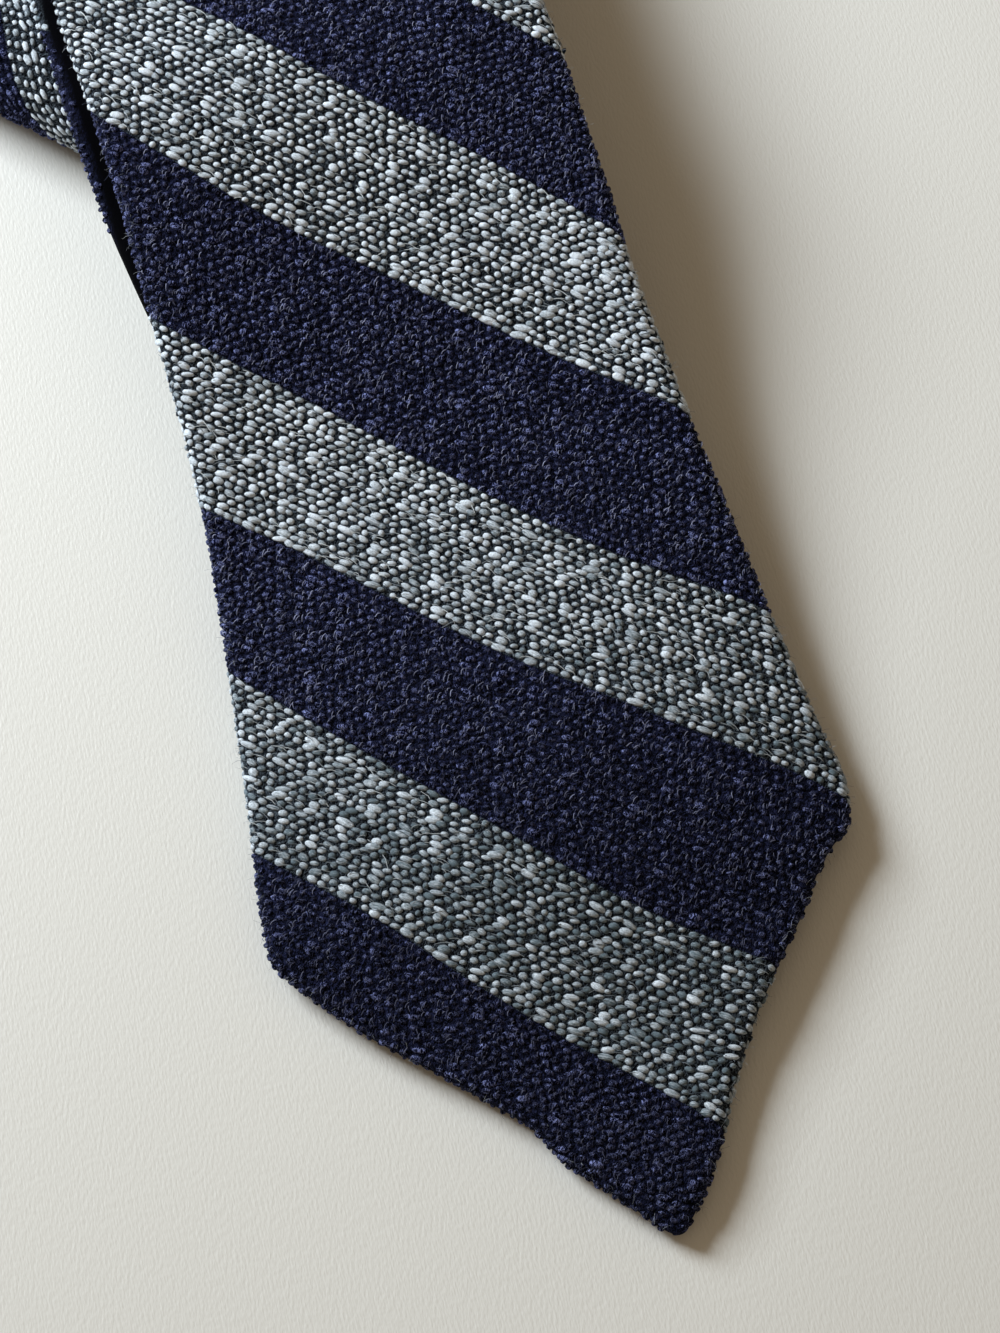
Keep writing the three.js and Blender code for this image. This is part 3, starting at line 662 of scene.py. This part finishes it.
def yarnTree(segments, rings):
    tree = bpy.data.node_groups.new("yarnFloats", "GeometryNodeTree")
    face = tree.interface
    face.new_socket("Geometry", in_out="INPUT", socket_type="NodeSocketGeometry")
    for label, value in (("Length", 0.0013), ("Breadth", 0.0009), ("Rise", 0.0004), ("Tilt", -0.2),
                         ("Roughness", 0.0001)):
        face.new_socket(label, in_out="INPUT", socket_type="NodeSocketFloat").default_value = value
    face.new_socket("Seed", in_out="INPUT", socket_type="NodeSocketInt").default_value = 1
    face.new_socket("Material", in_out="INPUT", socket_type="NodeSocketMaterial")
    face.new_socket("Geometry", in_out="OUTPUT", socket_type="NodeSocketGeometry")
    start = addNode(tree, "NodeGroupInput")
    read = lambda name, kind: addNode(tree, "GeometryNodeInputNamedAttribute", {"Name": name}, data_type=kind)
    points = addNode(tree, "GeometryNodeMeshToPoints", {"Mesh": start.outputs["Geometry"]})
    ball = addNode(tree, "GeometryNodeMeshUVSphere", {"Segments": segments, "Rings": rings, "Radius": 1.0})
    lying = addNode(tree, "GeometryNodeTransform", {"Geometry": ball.outputs[0],
                                                    "Rotation": (0, math.pi / 2, 0)})
    local = addNode(tree, "GeometryNodeInputPosition")
    kept = addNode(tree, "GeometryNodeStoreNamedAttribute", {"Geometry": lying.outputs[0], "Name": "strand",
                                                             "Value": local.outputs[0]},
                   data_type="FLOAT_VECTOR", domain="POINT")
    axes = addNode(tree, "FunctionNodeAxesToRotation", primary_axis="Z", secondary_axis="X")
    tree.links.new(read("outward", "FLOAT_VECTOR").outputs[0], axes.inputs[0])
    tree.links.new(read("along", "FLOAT_VECTOR").outputs[0], axes.inputs[1])
    leanBy = addNode(tree, "FunctionNodeRandomValue", {"Seed": start.outputs["Seed"]}, data_type="FLOAT")
    leanBy.inputs[2].default_value = -0.26
    leanBy.inputs[3].default_value = 0.26
    leanAll = addNode(tree, "ShaderNodeMath", {0: leanBy.outputs[1], 1: start.outputs["Tilt"]}, operation="ADD")
    leanAngles = addNode(tree, "ShaderNodeCombineXYZ", {2: leanAll.outputs[0]})
    leanTurn = addNode(tree, "FunctionNodeEulerToRotation", {0: leanAngles.outputs[0]})
    turned = addNode(tree, "FunctionNodeRotateRotation", {0: axes.outputs[0], 1: leanTurn.outputs[0]},
                     rotation_space="LOCAL")
    vary = addNode(tree, "FunctionNodeRandomValue", {"Seed": start.outputs["Seed"]}, data_type="FLOAT_VECTOR")
    vary.inputs[0].default_value = (0.8, 0.76, 0.65)
    vary.inputs[1].default_value = (1.16, 1.18, 1.35)
    longer = addNode(tree, "ShaderNodeMath", {0: read("stretch", "FLOAT").outputs[0], 1: start.outputs["Length"]},
                     operation="MULTIPLY")
    broader = addNode(tree, "ShaderNodeMath", {0: read("broad", "FLOAT").outputs[0], 1: start.outputs["Breadth"]},
                      operation="MULTIPLY")
    sizes = addNode(tree, "ShaderNodeCombineXYZ", {0: longer.outputs[0], 1: broader.outputs[0],
                                                   2: start.outputs["Rise"]})
    halved = addNode(tree, "ShaderNodeVectorMath", {0: sizes.outputs[0], 1: (0.5, 0.5, 1.0)}, operation="MULTIPLY")
    scaled = addNode(tree, "ShaderNodeVectorMath", {0: halved.outputs[0], 1: vary.outputs[0]},
                     operation="MULTIPLY")
    placed = addNode(tree, "GeometryNodeInstanceOnPoints", {"Points": points.outputs[0],
                                                            "Instance": kept.outputs[0],
                                                            "Rotation": turned.outputs[0],
                                                            "Scale": scaled.outputs[0]})
    real = addNode(tree, "GeometryNodeRealizeInstances", {0: placed.outputs[0]})
    place = addNode(tree, "GeometryNodeInputPosition")  # fibres make each float a little lumpy
    lumps = addNode(tree, "ShaderNodeTexNoise", {"Vector": place.outputs[0], "Scale": 1400.0, "Detail": 1.0})
    evened = addNode(tree, "ShaderNodeVectorMath", {0: lumps.outputs[1], 1: (0.5, 0.5, 0.5)}, operation="SUBTRACT")
    moved = addNode(tree, "ShaderNodeVectorMath", {0: evened.outputs[0]}, operation="SCALE")
    tree.links.new(start.outputs["Roughness"], moved.inputs["Scale"])
    lumpy = addNode(tree, "GeometryNodeSetPosition", {"Geometry": real.outputs[0], "Offset": moved.outputs[0]})
    inMm = addNode(tree, "ShaderNodeVectorMath", {0: read("strand", "FLOAT_VECTOR").outputs[0],
                                                  1: (-0.68, 0.42, 0)}, operation="MULTIPLY")
    onCloth = addNode(tree, "ShaderNodeVectorMath", {0: read("cloth", "FLOAT_VECTOR").outputs[0],
                                                     1: inMm.outputs[0]}, operation="ADD")
    laid = addNode(tree, "GeometryNodeStoreNamedAttribute", {"Geometry": lumpy.outputs[0], "Name": "cloth",
                                                             "Value": onCloth.outputs[0]},
                   data_type="FLOAT_VECTOR", domain="POINT")
    smooth = addNode(tree, "GeometryNodeSetShadeSmooth", {0: laid.outputs[0]})
    painted = addNode(tree, "GeometryNodeSetMaterial", {"Geometry": smooth.outputs[0],
                                                        "Material": start.outputs["Material"]})
    addNode(tree, "NodeGroupOutput", {0: painted.outputs[0]})
    return tree


def runTree(name, seeds, tree, values):  # evaluates a tree on an object and keeps the plain mesh
    carrier = addObject(name + "_seeds", seeds)
    modifier = carrier.modifiers.new("grow", "NODES")
    modifier.node_group = tree
    for item in tree.interface.items_tree:
        if item.item_type == "SOCKET" and item.in_out == "INPUT" and item.name in values:
            modifier[item.identifier] = values[item.name]
    bpy.context.view_layer.update()
    evaluated = carrier.evaluated_get(bpy.context.evaluated_depsgraph_get())
    mesh = bpy.data.meshes.new_from_object(evaluated)
    mesh.name = name
    carrier.modifiers.remove(modifier)
    bpy.data.objects.remove(carrier)
    for extra in ("stretch", "broad", "along", "outward"):
        if extra in mesh.attributes:
            mesh.attributes.remove(mesh.attributes[extra])
    return addObject(name, mesh)


s, a, stretch, broad, row, p, q = yarnPlaces()
wanted = yarnReach(s, a)
s, a, stretch, broad, row, p, q = (values[wanted] for values in (s, a, stretch, broad, row, p, q))
centre = surfacePoint(s, a)
ahead = surfacePoint(s + 0.25, a) - surfacePoint(s - 0.25, a)
aside = surfacePoint(s, a + 0.25) - surfacePoint(s, a - 0.25)
outward = np.cross(aside, ahead)
outward /= np.linalg.norm(outward, axis=1, keepdims=True)
alongRow = (aside / np.linalg.norm(aside, axis=1, keepdims=True)
            - ahead / np.linalg.norm(ahead, axis=1, keepdims=True))
alongRow /= np.linalg.norm(alongRow, axis=1, keepdims=True)

# lower layers keep their yarn only where the wide end doesn't cover it
y = centre[:, 1]
covered = (s > backReach + lookOut["behind"]) & (np.abs(centre[:, 0] - bladePlace(y)) < halfWidth(y) - 5) & (y > 12)
onEdge = edgeOf(s, a)[2] > -1.5
keep = ~covered | onEdge
under = (s > backReach + 20) & (centre[:, 2] < 1.0)
keep &= ~under
# yarn is left off the crease so that its near-black ground shows there as painted shade
keep &= creaseDepth(s, centre) < 0
isPale = ((row + np.round(shiftRows(s)).astype(int)) % 40) < 20
front = s < lookOut["frontTo"]
rest = s >= backReach + lookOut["behind"]
rear = ~front & ~rest


def makeYarn(name, chosen, material, segments, rings, fullness):
    place = rowMetres(centre[chosen])
    seeds = bpy.data.meshes.new(name + "_seeds")
    seeds.from_pydata(place.tolist(), [], [])
    rng = np.random.default_rng(yarn["seed"] + len(place))
    writeAttribute(seeds, "outward", "FLOAT_VECTOR", "POINT", "vector", outward[chosen])
    writeAttribute(seeds, "along", "FLOAT_VECTOR", "POINT", "vector", alongRow[chosen])
    writeAttribute(seeds, "stretch", "FLOAT", "POINT", "value", stretch[chosen])
    writeAttribute(seeds, "broad", "FLOAT", "POINT", "value", broad[chosen])
    writeAttribute(seeds, "cloth", "FLOAT_VECTOR", "POINT", "vector",
                   np.stack([p[chosen], q[chosen], 0 * p[chosen]], -1))
    # the yarn is darker towards the tip; the narrow end's yarn gets painted shade where it lies in the shade of the
    # wide one
    tipDarkening = yarn["tipShade"] * (1 - readRows([(50, 0), (125, 1)], s[chosen]))
    inShade = yarn["stripShade"] * (s[chosen] > lookOut["stripFrom"])
    writeAttribute(seeds, "tone", "FLOAT", "POINT", "value",
                   rng.random(len(place)) + (broad[chosen] > 1.1) * 0.3 - tipDarkening - inShade)
    tree = yarnTree(segments, rings)
    return runTree(name, seeds, tree, {"Length": yarn["length"] * fullness / 1000,
                                       "Breadth": yarn["breadth"] * fullness / 1000,
                                       "Rise": yarn["rise"] / 1000, "Tilt": yarn["tilt"], "Seed": yarn["seed"],
                                       "Roughness": yarn["rough"] / 1000,
                                       "Material": material})


yarnPieces = []
for label, zone, segments, rings in (("front", front, yarn["segments"], yarn["rings"]),
                                     ("rear", rear, yarn["rearSegments"], yarn["rearRings"]),
                                     ("under", rest, yarn["rearSegments"], yarn["rearRings"])):
    for tint, pick, material, fullness in (("pale", isPale, paleWool, yarn["paleFullness"]),
                                           ("navy", ~isPale, navyWool, yarn["navyFullness"])):
        chosen = keep & zone & pick
        piece = makeYarn("yarn_" + tint + "_" + label, chosen, material, segments, rings, fullness)
        yarnPieces.append(piece)
        print(piece.name, int(chosen.sum()), "floats", sum(len(f.vertices) - 2 for f in piece.data.polygons))


# Loose fibres: they lie over the navy rows and stand off the folded edges

fuzz = {"seed": 11, "onNavy": 9000, "onNavyLength": 0.7, "onNavyRadius": 0.06, "onPale": 3400,
        "onPaleLength": 1.5, "onPaleRadius": 0.05, "lift": 0.3, "atEdges": 900,
        "atEdgesLength": 1.5, "atEdgesRadius": 0.018}


def fibreTree():
    tree = bpy.data.node_groups.new("looseFibres", "GeometryNodeTree")
    face = tree.interface
    face.new_socket("Geometry", in_out="INPUT", socket_type="NodeSocketGeometry")
    for label, value in (("Length", 0.001), ("Radius", 0.00005), ("Waviness", 0.0002)):
        face.new_socket(label, in_out="INPUT", socket_type="NodeSocketFloat").default_value = value
    face.new_socket("Seed", in_out="INPUT", socket_type="NodeSocketInt").default_value = 1
    face.new_socket("Material", in_out="INPUT", socket_type="NodeSocketMaterial")
    face.new_socket("Geometry", in_out="OUTPUT", socket_type="NodeSocketGeometry")
    start = addNode(tree, "NodeGroupInput")
    read = lambda name, kind: addNode(tree, "GeometryNodeInputNamedAttribute", {"Name": name}, data_type=kind)
    points = addNode(tree, "GeometryNodeMeshToPoints", {"Mesh": start.outputs["Geometry"]})
    bow = addNode(tree, "GeometryNodeCurveQuadraticBezier", {"Resolution": 3, "Start": (-0.5, 0, 0),
                                                             "Middle": (0.1, 0.00022, 0.0003),
                                                             "End": (0.5, 0, -0.0001)})
    ring = addNode(tree, "GeometryNodeCurvePrimitiveCircle", {"Resolution": 3, "Radius": start.outputs["Radius"]})
    tube = addNode(tree, "GeometryNodeCurveToMesh", {"Curve": bow.outputs[0], "Profile Curve": ring.outputs[0],
                                                     "Fill Caps": True})
    axes = addNode(tree, "FunctionNodeAxesToRotation", primary_axis="Z", secondary_axis="X")
    tree.links.new(read("outward", "FLOAT_VECTOR").outputs[0], axes.inputs[0])
    tree.links.new(read("along", "FLOAT_VECTOR").outputs[0], axes.inputs[1])
    longer = addNode(tree, "FunctionNodeRandomValue", {"Seed": start.outputs["Seed"]}, data_type="FLOAT")
    longer.inputs[2].default_value = 0.5
    longer.inputs[3].default_value = 1.6
    length = addNode(tree, "ShaderNodeMath", {0: longer.outputs[1], 1: start.outputs["Length"]},
                     operation="MULTIPLY")
    sizes = addNode(tree, "ShaderNodeCombineXYZ", {0: length.outputs[0], 1: 1.0, 2: 1.0})
    placed = addNode(tree, "GeometryNodeInstanceOnPoints", {"Points": points.outputs[0], "Instance": tube.outputs[0],
                                                            "Rotation": axes.outputs[0],
                                                            "Scale": sizes.outputs[0]})
    real = addNode(tree, "GeometryNodeRealizeInstances", {0: placed.outputs[0]})
    place = addNode(tree, "GeometryNodeInputPosition")
    wave = addNode(tree, "ShaderNodeTexNoise", {"Vector": place.outputs[0], "Scale": 1100.0, "Detail": 0.0})
    evened = addNode(tree, "ShaderNodeVectorMath", {0: wave.outputs[1], 1: (0.5, 0.5, 0.5)}, operation="SUBTRACT")
    moved = addNode(tree, "ShaderNodeVectorMath", {0: evened.outputs[0]}, operation="SCALE")
    tree.links.new(start.outputs["Waviness"], moved.inputs["Scale"])
    wavy = addNode(tree, "GeometryNodeSetPosition", {"Geometry": real.outputs[0], "Offset": moved.outputs[0]})
    smooth = addNode(tree, "GeometryNodeSetShadeSmooth", {0: wavy.outputs[0]})
    painted = addNode(tree, "GeometryNodeSetMaterial", {"Geometry": smooth.outputs[0],
                                                        "Material": start.outputs["Material"]})
    addNode(tree, "NodeGroupOutput", {0: painted.outputs[0]})
    return tree


def woolFibre(name, dark, light):  # single curled wool fibres: matt
    material = bpy.data.materials.new(name)
    material.use_nodes = True
    tree = material.node_tree
    tree.nodes.clear()
    tone = addNode(tree, "ShaderNodeAttribute", attribute_name="tone", attribute_type="GEOMETRY")
    body = addNode(tree, "ShaderNodeMix", {0: tone.outputs["Fac"], 6: colour(dark), 7: colour(light)},
                   data_type="RGBA")
    shader = addNode(tree, "ShaderNodeBsdfPrincipled", {"Base Color": body.outputs[2], "Roughness": 0.8,
                                                        "Specular IOR Level": 0.2})
    addNode(tree, "ShaderNodeOutputMaterial", {0: shader.outputs[0]})
    return material


def axesAt(s, a):  # outward, along the rows and across the rows of yarn
    ahead = surfacePoint(s + 0.25, a) - surfacePoint(s - 0.25, a)
    aside = surfacePoint(s, a + 0.25) - surfacePoint(s, a - 0.25)
    ahead /= np.linalg.norm(ahead, axis=1, keepdims=True)
    aside /= np.linalg.norm(aside, axis=1, keepdims=True)
    out = np.cross(aside, ahead)
    return out / np.linalg.norm(out, axis=1, keepdims=True), aside - ahead, aside + ahead


def makeFibres(name, place, out, direction, tones, length, radius, waviness, material):
    seeds = bpy.data.meshes.new(name + "_seeds")
    seeds.from_pydata(place.tolist(), [], [])
    writeAttribute(seeds, "outward", "FLOAT_VECTOR", "POINT", "vector", out)
    writeAttribute(seeds, "along", "FLOAT_VECTOR", "POINT", "vector", direction)
    writeAttribute(seeds, "tone", "FLOAT", "POINT", "value", tones)
    piece = runTree(name, seeds, fibreTree(), {"Length": length / 1000, "Radius": radius / 1000,
                                               "Waviness": waviness / 1000, "Seed": fuzz["seed"],
                                               "Material": material})
    print(name, len(place), "fibres", sum(len(f.vertices) - 2 for f in piece.data.polygons))
    return piece


def placesOnStripe(rng, count, firstRow):  # even spread over the stripes of the wide end's front
    s = rng.uniform(1, 330, count * 3)
    a = rng.uniform(-48, 48, count * 3)
    row = toPattern(s, a)[1] / rowPitch - firstRow
    radius = sectionSizes(s)[1]
    kept = (edgeOf(s, a)[2] < radius * 1.2) & (row % 40 > 0.2) & (row % 40 < 19.8)
    return s[kept][:count], a[kept][:count]


def fibresOnPale():
    rng = np.random.default_rng(fuzz["seed"] + 2)
    s, a = placesOnStripe(rng, fuzz["onPale"], 0)
    out, along, across = axesAt(s, a)
    turn = rng.normal(0.15, 0.3, len(s))[:, None]
    direction = along * np.cos(turn) + across * np.sin(turn)
    place = rowMetres(surfacePoint(s, a) + out * (fuzz["lift"] + rng.uniform(-0.1, 0.04, len(s)))[:, None])
    tones = rng.random(len(s)) * (0.2 + 0.8 * readRows([(10, 0), (110, 1)], s))
    return makeFibres("fibres_pale", place, out, direction, tones, fuzz["onPaleLength"], fuzz["onPaleRadius"],
                      0.3, woolFibre("loosePaleWoolFibre", "#4a5866", "#eef6fb"))


def fibresOnNavy():
    rng = np.random.default_rng(fuzz["seed"])
    s, a = placesOnStripe(rng, fuzz["onNavy"], 20)
    out, along, across = axesAt(s, a)
    turn = rng.normal(0, 0.3, len(s))[:, None]
    direction = across * np.cos(turn) + along * np.sin(turn)
    place = rowMetres(surfacePoint(s, a) + out * (fuzz["lift"] + rng.uniform(-0.08, 0.06, len(s)))[:, None])
    tones = rng.random(len(s)) ** 1.5 * (0.3 + 0.7 * readRows([(10, 0), (110, 1)], s))
    return makeFibres("fibres_navy", place, out, direction, tones, fuzz["onNavyLength"],
                      fuzz["onNavyRadius"], 0.35, woolFibre("looseNavyWoolFibre", "#14183c", "#b4bce2"))


def fibresAtEdges():
    rng = np.random.default_rng(fuzz["seed"] + 1)
    count = fuzz["atEdges"]
    s = rng.uniform(0.5, 340, count)
    radius, left, right = sectionSizes(s)[1:4]
    rightSide = rng.random(count) < 0.5
    over = rng.uniform(0.2, 1.6, count) * radius
    a = np.where(rightSide, right + over, -left - over)
    out, along, across = axesAt(s, a)
    sway = rng.normal(0, 0.9, (count, 3))
    direction = out + sway * 0.7
    direction /= np.linalg.norm(direction, axis=1, keepdims=True)
    upright = np.cross(direction, along + across)
    place = rowMetres(surfacePoint(s, a) + out * 0.35)
    return makeFibres("fibres_edges", place, upright, direction, rng.random(count), fuzz["atEdgesLength"],
                      fuzz["atEdgesRadius"], 0.5, woolFibre("looseWoolFibre", "#3a3f5c", "#c4ccd4"))


yarnPieces += [fibresOnPale(), fibresOnNavy(), fibresAtEdges()]


# Floor, lights and camera

stage = {"floorColour": "#e9e9e5", "floorSize": 3.0}
floorMesh = makeMesh("floor", np.array([(-1, -1, 0), (1, -1, 0), (1, 1, 0), (-1, 1, 0)], float)
                     * stage["floorSize"] / 2, [(0, 1, 2, 3)])
floorMaterial = bpy.data.materials.new("paleDeskLaminate")
floorMaterial.use_nodes = True
floorTree = floorMaterial.node_tree
floorTree.nodes.clear()
floorPlace = addNode(floorTree, "ShaderNodeTexCoord")
floorLaid = addNode(floorTree, "ShaderNodeMapping", {0: floorPlace.outputs["Object"], 3: (2600, 850, 700)})
floorGrain = addNode(floorTree, "ShaderNodeTexNoise", {"Vector": floorLaid.outputs[0], "Scale": 1.0,
                                                       "Detail": 1.0})
floorBump = addNode(floorTree, "ShaderNodeBump", {"Strength": 0.36, "Distance": 0.00016,
                                                  "Height": floorGrain.outputs[0]})
floorShader = addNode(floorTree, "ShaderNodeBsdfPrincipled", {"Base Color": colour(stage["floorColour"]),
                                                              "Roughness": 0.36, "Normal": floorBump.outputs[0]})
addNode(floorTree, "ShaderNodeOutputMaterial", {0: floorShader.outputs[0]})
floorMesh.materials.append(floorMaterial)
floor = addObject("floor", floorMesh)

lights = {
    "window": {"place": (-0.44, 0.348, 0.425), "aim": (0.03, -0.06, 0.0), "size": 0.34, "power": 2.95, "spread": 100,
               "colour": "#f0f8fd"},
}
for name, light in lights.items():
    data = bpy.data.lights.new(name, "AREA")
    data.size = light["size"]
    data.energy = light["power"]
    data.spread = math.radians(light["spread"])
    data.color = colour(light["colour"])[:3]
    lamp = bpy.data.objects.new(name, data)
    lamp.location = light["place"]
    lamp.rotation_euler = (Vector(light["aim"]) - Vector(light["place"])).to_track_quat("-Z", "Y").to_euler()
    bpy.context.scene.collection.objects.link(lamp)
world = bpy.data.worlds.new("softRoom")
world.use_nodes = True
world.node_tree.nodes["Background"].inputs[0].default_value = colour("#ffe4c0")
world.node_tree.nodes["Background"].inputs[1].default_value = 0.23
bpy.context.scene.world = world
bpy.context.scene.view_settings.view_transform = "Standard"  # as a phone shows it, with its full contrast

view = {"azimuth": 14.66, "elevation": 65.117, "distance": 0.495486, "focal": 3400.0,
        "target": (0.686, 87.189, 5.0)}
azimuth, elevation = math.radians(view["azimuth"]), math.radians(view["elevation"])
forward = Vector((math.sin(azimuth) * math.cos(elevation), math.cos(azimuth) * math.cos(elevation),
                  -math.sin(elevation)))
sideways = Vector((math.cos(azimuth), -math.sin(azimuth), 0))
upward = sideways.cross(forward)
target = Vector(rowMetres(np.array(view["target"])).tolist())
cameraData = bpy.data.cameras.new("photoView")
cameraData.lens = view["focal"] * 36 / 1333
cameraData.clip_start = 0.01
camera = bpy.data.objects.new("photoView", cameraData)
camera.matrix_world = Matrix.Translation(target - forward * view["distance"]) @ Matrix(
    (sideways, upward, -forward)).transposed().to_4x4()
bpy.context.scene.collection.objects.link(camera)
bpy.context.scene.camera = camera
print("stage, lights and camera set")


# Bodies

for piece, node in zip(panels, ("front_blade", "neck_band", "tail_blade")):
    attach(piece, "root")
    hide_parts(node)
for piece in yarnPieces:
    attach(piece, "root")
